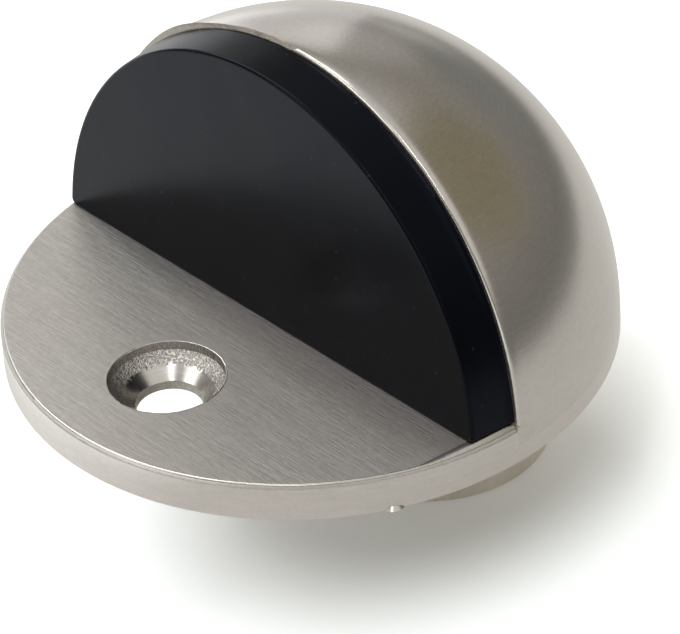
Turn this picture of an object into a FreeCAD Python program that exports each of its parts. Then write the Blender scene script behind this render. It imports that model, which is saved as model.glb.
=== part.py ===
import FreeCAD, Part
import math
import os

from FreeCAD import Placement, Rotation, Vector

# Half-moon floor door stop, in millimetres.
# The plate's underside lies on the floor, and its centre is the origin. +Z is up.
# The door comes from -Y and meets the rubber buffer. The dome is on the +Y side.

# Steel body: a dome on a short round foot, with its front milled down to a plate
DOME_DIAMETER = 45.0
OVERALL_HEIGHT = 23.9
PLATE_THICKNESS = 2.9
PLATE_EDGE_BREAK = 0.3

# Seat: the upright face that the milling leaves, which leans back as it rises
SEAT_FORWARD_AT_PLATE = 1.1
SEAT_LEAN_DEGREES = 3.0
SEAT_RIM_BREAK = 0.22

# Screw hole in the plate, for a countersunk floor screw
SCREW_OFFSET = 13.7
SCREW_MOUTH_DIAMETER = 8.4
SCREW_MOUTH_DEPTH = 0.7
SCREW_MOUTH_BREAK = 0.1
SCREW_SINK_DIAMETER = 7.8
SCREW_SINK_ANGLE_DEGREES = 90.0
SCREW_HOLE_DIAMETER = 4.8

# Locating spigot under the dome, which drops into a hole drilled in the floor
SPIGOT_DIAMETER = 18.2
SPIGOT_LENGTH = 16.0
SPIGOT_OFFSET = 11.4
SPIGOT_END_BREAK = 0.15

# Small nib left on the plate's lower edge
NIB_LENGTH = 1.8
NIB_HEIGHT = 0.8
NIB_OVERHANG = 0.35
NIB_BEARING_DEGREES = -28.0

# Rubber buffer: a half-moon slab on the seat, with pegs moulded on its back
BUFFER_THICKNESS = 3.25
BUFFER_RIM_INSET = 0.3
BUFFER_SIDEWAYS_OFFSET = -0.25
BUFFER_DRAFT_DEGREES = 7.5
BUFFER_CORNER_RADIUS = 0.35
BUFFER_EDGE_RADIUS = 0.35
BUFFER_FOOT_CLEARANCE = 0.06

# Pegs and their blind holes in the seat
PEG_DIAMETER = 6.0
PEG_LENGTH = 5.0
PEG_SPACING = 18.0
PEG_HEIGHT_ABOVE_PLATE = 7.0
PEG_CLEARANCE = 0.05
PEG_HOLE_EXTRA_DEPTH = 0.5

# Derived sizes
DOME_RADIUS = DOME_DIAMETER / 2
DOME_CENTRE_HEIGHT = OVERALL_HEIGHT - DOME_RADIUS
SEAT_LEAN = math.radians(SEAT_LEAN_DEGREES)
CUT_MARGIN = DOME_DIAMETER

# Accuracy of the tests that pick edges
SAME_HEIGHT = 1e-4
POINTS_PER_EDGE = 5

ORIGIN = Vector(0, 0, 0)
UP = Vector(0, 0, 1)
DOWN = Vector(0, 0, -1)
SIDEWAYS = Vector(1, 0, 0)


def seat_y(height):
    """Y of the leaning seat plane at a height above the floor."""
    rise = height - PLATE_THICKNESS
    return -SEAT_FORWARD_AT_PLATE + rise * math.tan(SEAT_LEAN)


def seat_frame(x, height):
    """Placement on the seat plane, with its local +Z pointing out towards the door."""
    outward = Rotation(SIDEWAYS, 90 - SEAT_LEAN_DEGREES)
    return Placement(Vector(x, seat_y(height), height), outward)


def edges_where(shape, test):
    """Edges of a shape whose points all pass a test, leaving out a sphere's pole points."""
    real = [edge for edge in shape.Edges if not edge.Degenerated]
    return [edge for edge in real if all(test(point) for point in edge.discretize(POINTS_PER_EDGE))]


def turned(points):
    """Solid turned about the local Z axis from a closed outline of radius and height pairs."""
    corners = [Vector(radius, 0, height) for radius, height in points]
    outline = Part.makePolygon(corners + corners[:1])
    return Part.Face(outline).revolve(ORIGIN, UP, 360)


def slab_between(low, high):
    """Wide block that fills all the space between two heights."""
    corner = Vector(-CUT_MARGIN, -CUT_MARGIN, low)
    return Part.makeBox(2 * CUT_MARGIN, 2 * CUT_MARGIN, high - low, corner)


def space_before_seat(low, high):
    """Space in front of the leaning seat plane, between two heights."""
    corners = [
        Vector(-CUT_MARGIN, seat_y(low), low),
        Vector(-CUT_MARGIN, -CUT_MARGIN, low),
        Vector(-CUT_MARGIN, -CUT_MARGIN, high),
        Vector(-CUT_MARGIN, seat_y(high), high),
    ]
    section = Part.Face(Part.makePolygon(corners + corners[:1]))
    return section.extrude(SIDEWAYS * 2 * CUT_MARGIN)


def domed_blank():
    """Round foot that runs smoothly into the dome, turned in one piece."""
    rising = Vector(math.cos(math.pi / 4), 0, math.sin(math.pi / 4)) * DOME_RADIUS
    shoulder = Vector(DOME_RADIUS, 0, DOME_CENTRE_HEIGHT)
    middle = rising + UP * DOME_CENTRE_HEIGHT
    top = UP * OVERALL_HEIGHT
    outline = Part.Wire([
        Part.makeLine(ORIGIN, Vector(DOME_RADIUS, 0, 0)),
        Part.makeLine(Vector(DOME_RADIUS, 0, 0), shoulder),
        Part.Arc(shoulder, middle, top).toShape(),
        Part.makeLine(top, ORIGIN),
    ])
    return Part.Face(outline).revolve(ORIGIN, UP, 360)


def edge_break_ring(radius, size):
    """Ring that takes a 45 degree bevel off a round edge whose flat face lies at local height 0."""
    inner = radius - size
    outer = radius + size
    return turned([
        (inner - size, size),
        (outer, size),
        (outer, inner - outer),
    ])


def plate_edge_break():
    """Bevel along the plate's upper edge, as far back as the seat."""
    radius = math.sqrt(DOME_RADIUS**2 - (PLATE_THICKNESS - DOME_CENTRE_HEIGHT)**2)
    ring = edge_break_ring(radius, PLATE_EDGE_BREAK)
    ring.translate(UP * PLATE_THICKNESS)
    return ring.common(space_before_seat(0, OVERALL_HEIGHT))


def seat_rim_break():
    """Bevel along the dome's front rim, down to the plate."""
    distance = -seat_y(DOME_CENTRE_HEIGHT) * math.cos(SEAT_LEAN)
    foot_of_normal = DOME_CENTRE_HEIGHT + distance * math.sin(SEAT_LEAN)
    ring = edge_break_ring(math.sqrt(DOME_RADIUS**2 - distance**2), SEAT_RIM_BREAK)
    ring.Placement = seat_frame(0, foot_of_normal)
    return ring.common(slab_between(PLATE_THICKNESS, OVERALL_HEIGHT + CUT_MARGIN))


def screw_hole():
    """Stepped hole: a short steep mouth, a conical sink and a straight land below it."""
    mouth = SCREW_MOUTH_DIAMETER / 2
    sink = SCREW_SINK_DIAMETER / 2
    land = SCREW_HOLE_DIAMETER / 2
    sink_top = PLATE_THICKNESS - SCREW_MOUTH_DEPTH
    sink_depth = (sink - land) / math.tan(math.radians(SCREW_SINK_ANGLE_DEGREES / 2))
    cutter = turned([
        (0, PLATE_THICKNESS + SCREW_MOUTH_BREAK),
        (mouth + 2 * SCREW_MOUTH_BREAK, PLATE_THICKNESS + SCREW_MOUTH_BREAK),
        (mouth, PLATE_THICKNESS - SCREW_MOUTH_BREAK),
        (sink, sink_top),
        (land, sink_top - sink_depth),
        (land, -PLATE_THICKNESS),
        (0, -PLATE_THICKNESS),
    ])
    cutter.translate(Vector(0, -SCREW_OFFSET, 0))
    return cutter


def spigot():
    """Round spigot below the dome, with its lower edge broken."""
    post = Part.makeCylinder(SPIGOT_DIAMETER / 2, SPIGOT_LENGTH, Vector(0, SPIGOT_OFFSET, 0), DOWN)
    end_edges = edges_where(post, lambda point: abs(point.z + SPIGOT_LENGTH) < SAME_HEIGHT)
    return post.makeChamfer(SPIGOT_END_BREAK, end_edges)


def edge_nib():
    """Small lens-shaped nib that straddles the plate's lower edge."""
    half_length = NIB_LENGTH / 2
    half_height = NIB_HEIGHT / 2
    face_radius = (half_length**2 + half_height**2) / NIB_HEIGHT
    sink = face_radius - half_height
    lens = Part.makeSphere(face_radius, DOWN * sink).common(Part.makeSphere(face_radius, UP * sink))
    bearing = math.radians(NIB_BEARING_DEGREES)
    outward = Vector(math.cos(bearing), math.sin(bearing), 0)
    lens.translate(outward * (DOME_RADIUS + NIB_OVERHANG - half_length))
    return lens


def peg_frames():
    """Placements of the two pegs on the seat plane."""
    height = PLATE_THICKNESS + PEG_HEIGHT_ABOVE_PLATE
    return [
        seat_frame(BUFFER_SIDEWAYS_OFFSET + side * PEG_SPACING / 2, height)
        for side in (-1, 1)
    ]


def pin_into_seat(frame, diameter, length):
    """Cylinder that runs from the seat plane back into the dome."""
    pin = Part.makeCylinder(diameter / 2, length, ORIGIN, DOWN)
    pin.Placement = frame
    return pin


def peg_holes():
    """Blind holes in the seat for the buffer's pegs."""
    diameter = PEG_DIAMETER + 2 * PEG_CLEARANCE
    depth = PEG_LENGTH + PEG_HOLE_EXTRA_DEPTH
    return [pin_into_seat(frame, diameter, depth) for frame in peg_frames()]


def make_body():
    """One-piece steel body: dome, plate, spigot, screw hole and peg holes."""
    body = domed_blank().cut(space_before_seat(PLATE_THICKNESS, OVERALL_HEIGHT + CUT_MARGIN))
    body = body.cut([plate_edge_break(), seat_rim_break()])
    body = body.fuse([spigot(), edge_nib()])
    body = body.cut([screw_hole()] + peg_holes())
    return body.removeSplitter()


def buffer_disc(edge_radius):
    """Drafted round disc on the seat whose front edge has a given radius."""
    draft = math.radians(BUFFER_DRAFT_DEGREES)
    back_radius = DOME_RADIUS - BUFFER_RIM_INSET
    round_height = BUFFER_THICKNESS - edge_radius
    round_x = back_radius - round_height * math.tan(draft) - edge_radius / math.cos(draft)
    round_centre = Vector(round_x, 0, round_height)

    def on_round(angle):
        return round_centre + Vector(math.cos(angle), 0, math.sin(angle)) * edge_radius

    side_end = on_round(draft)
    front_end = on_round(math.pi / 2)
    front_middle = UP * BUFFER_THICKNESS
    outline = [
        Part.makeLine(ORIGIN, Vector(back_radius, 0, 0)),
        Part.makeLine(Vector(back_radius, 0, 0), side_end),
        Part.makeLine(front_end, front_middle),
        Part.makeLine(front_middle, ORIGIN),
    ]
    if edge_radius > 0:
        outline.insert(2, Part.Arc(side_end, on_round((draft + math.pi / 2) / 2), front_end).toShape())
    disc = Part.Face(Part.Wire(outline)).revolve(ORIGIN, UP, 360)
    disc.Placement = seat_frame(BUFFER_SIDEWAYS_OFFSET, DOME_CENTRE_HEIGHT)
    return disc


def make_rubber_buffer():
    """Moulded half-moon with rounded foot corners, a soft front edge and two pegs."""
    foot = PLATE_THICKNESS + BUFFER_FOOT_CLEARANCE

    def at_foot_corner(point):
        beside_middle = abs(point.x - BUFFER_SIDEWAYS_OFFSET) > DOME_RADIUS / 2
        return beside_middle and abs(point.z - foot) < SAME_HEIGHT

    slab = buffer_disc(0).cut(slab_between(-CUT_MARGIN, foot))
    slab = slab.makeFillet(BUFFER_CORNER_RADIUS, edges_where(slab, at_foot_corner))
    slab = slab.common(buffer_disc(BUFFER_EDGE_RADIUS))
    pegs = [pin_into_seat(frame, PEG_DIAMETER, PEG_LENGTH) for frame in peg_frames()]
    return slab.fuse(pegs).removeSplitter()


def save(name, shape):
    """Write one solid to its own file and report its size."""
    shape.exportStep(os.path.join("parts", name + ".step"))
    box = shape.optimalBoundingBox()
    print(name, "solids", len(shape.Solids), "valid", shape.isValid(), "volume", round(shape.Volume, 1),
          "size", round(box.XLength, 2), round(box.YLength, 2), round(box.ZLength, 2))


os.makedirs("parts", exist_ok=True)
save("body", make_body())
save("rubber_buffer", make_rubber_buffer())
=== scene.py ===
"""Dresses the half-dome floor door stop in satin steel and moulded rubber, in a plain pale studio."""

import logging
import math
from dataclasses import dataclass, field, replace
from enum import Enum
from typing import Callable, Optional, Sequence, Union

import bmesh
import bpy
import numpy as np
from mathutils import Matrix, Vector, noise


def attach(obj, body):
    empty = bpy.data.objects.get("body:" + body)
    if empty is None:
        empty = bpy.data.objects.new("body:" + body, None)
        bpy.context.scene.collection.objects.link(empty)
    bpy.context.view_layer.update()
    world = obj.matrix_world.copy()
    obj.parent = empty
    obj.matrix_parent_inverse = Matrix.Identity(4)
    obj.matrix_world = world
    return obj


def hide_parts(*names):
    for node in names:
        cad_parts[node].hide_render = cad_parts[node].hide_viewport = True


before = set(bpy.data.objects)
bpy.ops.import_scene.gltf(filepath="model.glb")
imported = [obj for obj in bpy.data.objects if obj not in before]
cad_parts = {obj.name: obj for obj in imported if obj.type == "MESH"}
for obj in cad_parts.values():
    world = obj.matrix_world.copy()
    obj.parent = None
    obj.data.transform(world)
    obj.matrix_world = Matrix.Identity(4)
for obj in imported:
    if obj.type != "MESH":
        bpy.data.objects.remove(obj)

LOG = logging.getLogger("door_stop")
MM = 0.001
UP = Vector((0, 0, 1))
BLACK = (0.0, 0.0, 0.0)
MIX_FACTOR, MIX_FIRST, MIX_SECOND, MIX_RESULT = 0, 6, 7, 2
JOIN_SLACK = 1e-9

Socket = bpy.types.NodeSocket
Value = Union[float, Sequence[float], Socket, None]
Triple = tuple[float, float, float]
Pair = tuple[float, float]
Mesh = bmesh.types.BMesh
Face = bmesh.types.BMFace
Vert = bmesh.types.BMVert


# Shared arithmetic


def held(value: float) -> float:
    """The value, held between 0 and 1."""
    return max(0.0, min(1.0, value))


def spoke(angle: float) -> Vector:
    """Level direction at an angle from +X, in radians."""
    return Vector((math.cos(angle), math.sin(angle), 0))


def direction(azimuth: float, elevation: float) -> Vector:
    """Direction at an azimuth from +X and an elevation over the floor, both in degrees."""
    rise = math.radians(elevation)
    return spoke(math.radians(azimuth)) * math.cos(rise) + UP * math.sin(rise)


@dataclass(frozen=True)
class Waver:
    """Fractal unevenness of a line or a surface."""

    pitch: float
    smoothness: float
    step: float
    layers: int

    def at(self, point: Vector) -> float:
        """The unevenness at a point, from about -1 to 1."""
        return noise.fractal(point / self.pitch, self.smoothness, self.step, self.layers)


@dataclass(frozen=True)
class StopSizes:
    """Sizes of the door stop that the body, the buffer and the studio share, in metres."""

    dome_radius: float = 22.5 * MM
    dome_centre_height: float = 1.4 * MM
    plate_thickness: float = 2.9 * MM
    seat_forward_at_plate: float = 1.1 * MM
    seat_lean: float = math.radians(3.0)
    screw_offset: float = 13.7 * MM
    screw_mouth_radius: float = 4.32 * MM
    spigot_offset: float = 11.4 * MM
    spigot_length: float = 16.0 * MM

    @property
    def dome_centre(self) -> Vector:
        """Centre of the dome's sphere."""
        return Vector((0, 0, self.dome_centre_height))

    @property
    def seat_normal(self) -> Vector:
        """Direction in which the leaning seat faces the door."""
        return Vector((0, -math.cos(self.seat_lean), math.sin(self.seat_lean)))

    @property
    def seat_rise(self) -> Vector:
        """Direction up along the leaning seat."""
        return Vector((0, math.sin(self.seat_lean), math.cos(self.seat_lean)))

    @property
    def seat_middle(self) -> Vector:
        """Point in the middle of the seat plane, at the height of the dome's centre."""
        fall = (self.plate_thickness - self.dome_centre_height) * math.tan(self.seat_lean)
        return Vector((0, -self.seat_forward_at_plate - fall, self.dome_centre_height))

    def before_seat(self, point: Vector) -> float:
        """Distance of a point in front of the seat plane, negative inside the dome."""
        return (point - self.seat_middle).dot(self.seat_normal)


# Shader building


class Graph:
    """Adds and links the nodes of one shader tree."""

    def __init__(self, tree: bpy.types.NodeTree) -> None:
        """Wraps a tree."""
        self.tree = tree

    def feed(self, value: Value, target: Socket) -> None:
        """Gives an input its value, as a link or as a plain setting.

        Args:
            value: The socket to link, or the setting.
            target: The input.
        """
        if isinstance(value, Socket):
            self.tree.links.new(value, target)
        else:
            target.default_value = value

    def node(self, kind: str, inputs: Optional[dict] = None, **settings) -> bpy.types.Node:
        """Adds one node.

        Args:
            kind: The node's type name.
            inputs: Input name or index to a number, a tuple or a socket to link.
            **settings: Attributes of the node.

        Returns:
            The new node.
        """
        made = self.tree.nodes.new(kind)
        for name, value in settings.items():
            setattr(made, name, value)
        for key, value in (inputs or {}).items():
            self.feed(value, made.inputs[key])
        return made

    def math(self, operation: str, first: Value, second: Value = None) -> Socket:
        """Adds a Math node and returns its output."""
        inputs = {0: first} if second is None else {0: first, 1: second}
        return self.node("ShaderNodeMath", inputs, operation=operation).outputs[0]

    def vector(self, operation: str, first: Value, second: Value) -> Socket:
        """Adds a Vector Math node and returns its vector output."""
        return self.node("ShaderNodeVectorMath", {0: first, 1: second}, operation=operation).outputs[0]

    def dot(self, first: Value, second: Value) -> Socket:
        """Adds a dot product and returns its number."""
        made = self.node("ShaderNodeVectorMath", {0: first, 1: second}, operation="DOT_PRODUCT")
        return made.outputs["Value"]

    def remap(self, value: Socket, low: Value, high: Value, start: float = 0.0, end: float = 1.0) -> Socket:
        """Adds a smooth Map Range node, from start at low to end at high, and returns its output."""
        inputs = {"Value": value, "From Min": low, "From Max": high, "To Min": start, "To Max": end}
        return self.node("ShaderNodeMapRange", inputs, interpolation_type="SMOOTHSTEP").outputs["Result"]

    def mix(self, factor: Value, first: Value, second: Value) -> Socket:
        """Adds a colour Mix node.

        Args:
            factor: Share of the second colour, from 0 to 1.
            first: Colour where the share is 0.
            second: Colour where the share is 1.

        Returns:
            The colour socket.
        """
        made = self.node("ShaderNodeMix", {MIX_FACTOR: factor}, data_type="RGBA")
        for key, colour in ((MIX_FIRST, first), (MIX_SECOND, second)):
            self.feed(colour if isinstance(colour, Socket) else (*colour, 1.0), made.inputs[key])
        return made.outputs[MIX_RESULT]

    def noise(self, vector: Value, scale: Value, detail: float, roughness: float) -> Socket:
        """Adds a Noise Texture and returns its factor."""
        inputs = {"Vector": vector, "Scale": scale, "Detail": detail, "Roughness": roughness}
        return self.node("ShaderNodeTexNoise", inputs).outputs[0]

    def bump(self, height: Socket, depth: float, under: Optional[Socket] = None) -> Socket:
        """Adds a Bump node.

        Args:
            height: Height of the relief, from 0 to 1.
            depth: Depth of the relief, in metres.
            under: Normal of the relief that this one lies on.

        Returns:
            The normal socket.
        """
        inputs = {"Strength": 1.0, "Distance": depth, "Height": height}
        if under is not None:
            inputs["Normal"] = under
        return self.node("ShaderNodeBump", inputs).outputs["Normal"]


def node_material(name: str) -> tuple[bpy.types.Material, Graph]:
    """Adds a node material.

    Args:
        name: Its name.

    Returns:
        The material and its graph.
    """
    made = bpy.data.materials.new(name)
    made.use_nodes = True
    return made, Graph(made.node_tree)


@dataclass
class GroupKit:
    """The shader node groups that the finishes share, each built once."""

    coarse_scale: Triple = (0.45, 0.31, 0.38)
    fine_noise: Triple = (1.0, 3.0, 0.62)
    coarse_noise: Triple = (1.0, 2.0, 0.5)
    fine_share: float = 0.6
    contrast_reach: float = 0.45
    cloud_noise: Pair = (4.0, 0.55)
    vectors: tuple[str, ...] = ("Vector", "Centre", "Stretch")
    made: dict[str, bpy.types.NodeTree] = field(default_factory=dict)

    def place(self, graph: Graph, fill: Callable, output: str = "Mask", **values: Value) -> Socket:
        """Places a group in a material's graph, and builds the group on its first use.

        Args:
            graph: The material's graph.
            fill: Builds the group's inside from its graph and its inputs, and returns what it puts out.
            output: Name of what the group puts out.
            **values: A value or a socket of the material for each of the group's inputs.

        Returns:
            The placed group's output.
        """
        name = fill.__name__
        if name not in self.made:
            tree = bpy.data.node_groups.new(name, "ShaderNodeTree")
            ways = [*((label, "INPUT") for label in values), (output, "OUTPUT")]
            for label, way in ways:
                kind = "NodeSocketVector" if label in self.vectors else "NodeSocketFloat"
                tree.interface.new_socket(name=label, in_out=way, socket_type=kind)
            inner = Graph(tree)
            result = fill(inner, inner.node("NodeGroupInput").outputs)
            inner.feed(result, inner.node("NodeGroupOutput").inputs[output])
            self.made[name] = tree
        placed = graph.tree.nodes.new("ShaderNodeGroup")
        placed.node_tree = self.made[name]
        for key, value in values.items():
            graph.feed(value, placed.inputs[key])
        return placed.outputs[output]

    @staticmethod
    def turned_coordinates(inner: Graph, given: Sequence) -> Socket:
        """Inside of the group that turned() places.

        Args:
            inner: The group's graph.
            given: The group's inputs.

        Returns:
            The vector of angle, rise and radius.
        """
        offset = inner.vector("SUBTRACT", given["Vector"], given["Centre"])
        parts = inner.node("ShaderNodeSeparateXYZ", {0: offset}).outputs
        squares = (inner.math("MULTIPLY", part, part) for part in parts[:2])
        radius = inner.math("SQRT", inner.math("ADD", *squares))
        angle = inner.math("ARCTAN2", parts[1], parts[0])
        rise = inner.math("ARCTAN2", parts[2], radius)
        return inner.node("ShaderNodeCombineXYZ", {0: angle, 1: rise, 2: radius}).outputs[0]

    def turned(self, graph: Graph, vector: Socket, centre: Triple) -> Socket:
        """Coordinates round a turning axis: angle, rise and radius, for lathe marks.

        Args:
            graph: The material's graph.
            vector: Object coordinates.
            centre: A point on the upright turning axis, in metres.

        Returns:
            The vector socket.
        """
        return self.place(graph, self.turned_coordinates, "Vector", Vector=vector, Centre=centre)

    def tool_marks(self, inner: Graph, given: Sequence) -> Socket:
        """Inside of the group that streaks() places.

        Args:
            inner: The group's graph.
            given: The group's inputs.

        Returns:
            The mask of the marks.
        """
        fine = inner.vector("MULTIPLY", given["Vector"], given["Stretch"])
        coarse = inner.vector("MULTIPLY", fine, self.coarse_scale)
        fine_part = inner.math("MULTIPLY", inner.noise(fine, *self.fine_noise), self.fine_share)
        coarse_part = inner.math("MULTIPLY", inner.noise(coarse, *self.coarse_noise), 1.0 - self.fine_share)
        both = inner.math("ADD", fine_part, coarse_part)
        low = inner.math("SUBTRACT", 0.5, inner.math("MULTIPLY", given["Contrast"], self.contrast_reach))
        return inner.remap(both, low, inner.math("SUBTRACT", 1.0, low))

    def streaks(self, graph: Graph, vector: Socket, scale: Triple, contrast: float) -> Socket:
        """Fine parallel tool marks, as a mask from 0 to 1.

        Args:
            graph: The material's graph.
            vector: Coordinates along and across the marks.
            scale: Marks per unit along each axis.
            contrast: How sharply the marks stand apart, from 0 to 1.

        Returns:
            The mask socket.
        """
        return self.place(graph, self.tool_marks, Vector=vector, Stretch=scale, Contrast=contrast)

    def soft_clouds(self, inner: Graph, given: Sequence) -> Socket:
        """Inside of the group that mottle() places: a mask of soft clouds."""
        cloud = inner.noise(given["Vector"], given["Scale"], *self.cloud_noise)
        return inner.remap(cloud, given["Low"], given["High"])

    def mottle(self, graph: Graph, vector: Socket, scale: float, bounds: Pair) -> Socket:
        """Soft cloudy variation, as a mask from 0 to 1.

        Args:
            graph: The material's graph.
            vector: Object coordinates.
            scale: Clouds per metre.
            bounds: Values of the noise at which the mask is 0 and 1.

        Returns:
            The mask socket.
        """
        return self.place(graph, self.soft_clouds, Vector=vector, Scale=scale, Low=bounds[0], High=bounds[1])

    @staticmethod
    def dust_specks(inner: Graph, given: Sequence) -> Socket:
        """Inside of the group that specks() places.

        Args:
            inner: The group's graph.
            given: The group's inputs.

        Returns:
            The mask of the specks.
        """
        inputs = {"Vector": given["Vector"], "Scale": given["Scale"]}
        cells = inner.node("ShaderNodeTexVoronoi", inputs).outputs
        near = inner.math("LESS_THAN", cells["Distance"], given["Size"])
        chosen = inner.node("ShaderNodeSeparateColor", {0: cells["Color"]}).outputs[0]
        return inner.math("MULTIPLY", near, inner.math("LESS_THAN", chosen, given["Share"]))

    def specks(self, graph: Graph, vector: Socket, scale: float, size: float, share: float) -> Socket:
        """Sparse tiny round specks, as a mask from 0 to 1.

        Args:
            graph: The material's graph.
            vector: Object coordinates.
            scale: Cells per metre.
            size: Radius of a speck as a share of its cell.
            share: Share of the cells that hold a speck.

        Returns:
            The mask socket.
        """
        return self.place(graph, self.dust_specks, Vector=vector, Scale=scale, Size=size, Share=share)


class Marks(Enum):
    """How the tool marks of a steel finish run."""

    STRAIGHT = "straight"
    TURNED = "turned"


@dataclass(frozen=True)
class SteelFinish:
    """One finish of the stainless steel body."""

    name: str
    tint: Triple
    roughness: float
    marks: Marks
    scale: Triple
    contrast: float = 0.5
    shade: float = 0.05
    roughness_spread: float = 0.03
    relief: float = 1.2e-6
    cloud: float = 90.0
    cloud_bounds: Pair = (0.36, 0.66)
    cloud_shade: float = 0.05
    stain: Triple = BLACK
    grain: float = 2600.0
    grain_bounds: Pair = (0.30, 0.70)
    grain_shade: float = 0.03
    grain_relief: float = 0.8e-6
    centre: Triple = (0.0, 0.0, 0.0)

    def material(self, kit: GroupKit) -> bpy.types.Material:
        """Builds the finish as a node material.

        Args:
            kit: The shared node groups.

        Returns:
            The material.
        """
        made, graph = node_material(self.name)
        shader = graph.tree.nodes["Principled BSDF"].inputs
        place = graph.node("ShaderNodeTexCoord").outputs["Object"]
        run = kit.turned(graph, place, self.centre) if self.marks is Marks.TURNED else place
        marks = kit.streaks(graph, run, self.scale, self.contrast)
        cloud = kit.mottle(graph, place, self.cloud, self.cloud_bounds)
        grain = kit.mottle(graph, place, self.grain, self.grain_bounds)
        marked = graph.mix(marks, self.shaded(-self.shade), self.shaded(self.shade))
        grained = graph.mix(graph.math("MULTIPLY", grain, self.grain_shade), marked, BLACK)
        clouded = graph.mix(graph.math("MULTIPLY", cloud, self.cloud_shade), grained, self.stain)
        graph.feed(clouded, shader["Base Color"])
        spread = graph.math("MULTIPLY", graph.math("ADD", marks, cloud), self.roughness_spread)
        graph.feed(graph.math("ADD", spread, self.roughness - self.roughness_spread), shader["Roughness"])
        graph.feed(1.0, shader["Metallic"])
        graph.feed(graph.bump(marks, self.relief, graph.bump(grain, self.grain_relief)), shader["Normal"])
        return made

    def shaded(self, amount: float) -> Triple:
        """The finish's tint made lighter, or darker by a negative amount."""
        red, green, blue = (min(1.0, channel * (1.0 + amount)) for channel in self.tint)
        return red, green, blue


@dataclass(frozen=True)
class RubberFinish:
    """The moulded black rubber of the buffer, with a cloudy bloom, fine grain and dust specks."""

    name: str = "black_rubber"
    tint: Triple = (0.0006, 0.0008, 0.0013)
    bloom: Triple = (0.0006, 0.0009, 0.0026)
    bloom_scale: float = 160.0
    bloom_bounds: Pair = (0.35, 0.70)
    grain: Triple = (9000.0, 3.0, 0.6)
    grain_height: float = 0.4
    relief: float = 6e-6
    dust: Triple = (0.017, 0.018, 0.021)
    dust_scale: float = 900.0
    dust_size: float = 0.10
    dust_share: float = 0.16
    dust_cover: float = 0.7
    sheen_tint: Triple = (0.62, 0.71, 0.98)
    gloss: float = 0.135
    roughness: float = 0.26
    roughness_spread: float = 0.05

    def material(self, kit: GroupKit) -> bpy.types.Material:
        """Builds the rubber as a node material.

        Args:
            kit: The shared node groups.

        Returns:
            The material.
        """
        made, graph = node_material(self.name)
        shader = graph.tree.nodes["Principled BSDF"].inputs
        place = graph.node("ShaderNodeTexCoord").outputs["Object"]
        cloud = kit.mottle(graph, place, self.bloom_scale, self.bloom_bounds)
        grain = graph.noise(place, *self.grain)
        specks = kit.specks(graph, place, self.dust_scale, self.dust_size, self.dust_share)
        coloured = graph.mix(cloud, self.tint, self.bloom)
        dusty = graph.mix(graph.math("MULTIPLY", specks, self.dust_cover), coloured, self.dust)
        graph.feed(dusty, shader["Base Color"])
        spread = graph.math("MULTIPLY", graph.math("ADD", cloud, grain), self.roughness_spread)
        graph.feed(graph.math("ADD", spread, self.roughness - self.roughness_spread), shader["Roughness"])
        height = graph.math("ADD", graph.math("MULTIPLY", grain, self.grain_height), cloud)
        graph.feed(graph.bump(height, self.relief), shader["Normal"])
        graph.feed(self.gloss, shader["Specular IOR Level"])
        graph.feed((*self.sheen_tint, 1.0), shader["Specular Tint"])
        return made


# Pieces


def finished(name: str, mesh: Mesh, materials: Sequence[bpy.types.Material]) -> bpy.types.Object:
    """Makes a smooth object of a finished mesh and adds it to the scene.

    Args:
        name: Name of the object and of its mesh.
        mesh: The mesh, which is freed.
        materials: The materials, in the order of the material slots.

    Returns:
        The object, at the origin.
    """
    for face in mesh.faces:
        face.smooth = True
    data = bpy.data.meshes.new(name)
    mesh.to_mesh(data)
    mesh.free()
    for material in materials:
        data.materials.append(material)
    piece = bpy.data.objects.new(name, data)
    bpy.context.scene.collection.objects.link(piece)
    return piece


class Zone(Enum):
    """Differently finished zones of the steel body, in the order of its material slots."""

    DOME = 0
    PLATE_TOP = 1
    SIDE = 2
    PLATE_EDGE = 3
    SEAT_RIM = 4
    SINK_WALL = 5
    SINK_CONE = 6
    SPIGOT = 7
    UNDERSIDE = 8
    SEAT = 9
    SOFT_EDGE = 10
    SINK_GRAIN = 11
    FOOT_CORNER = 12


@dataclass(frozen=True)
class SinkBand:
    """Rings of the screw hole's wall, as radius and height in millimetres, and the zone below each."""

    zone: Zone
    rings: tuple[Pair, ...]


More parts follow.
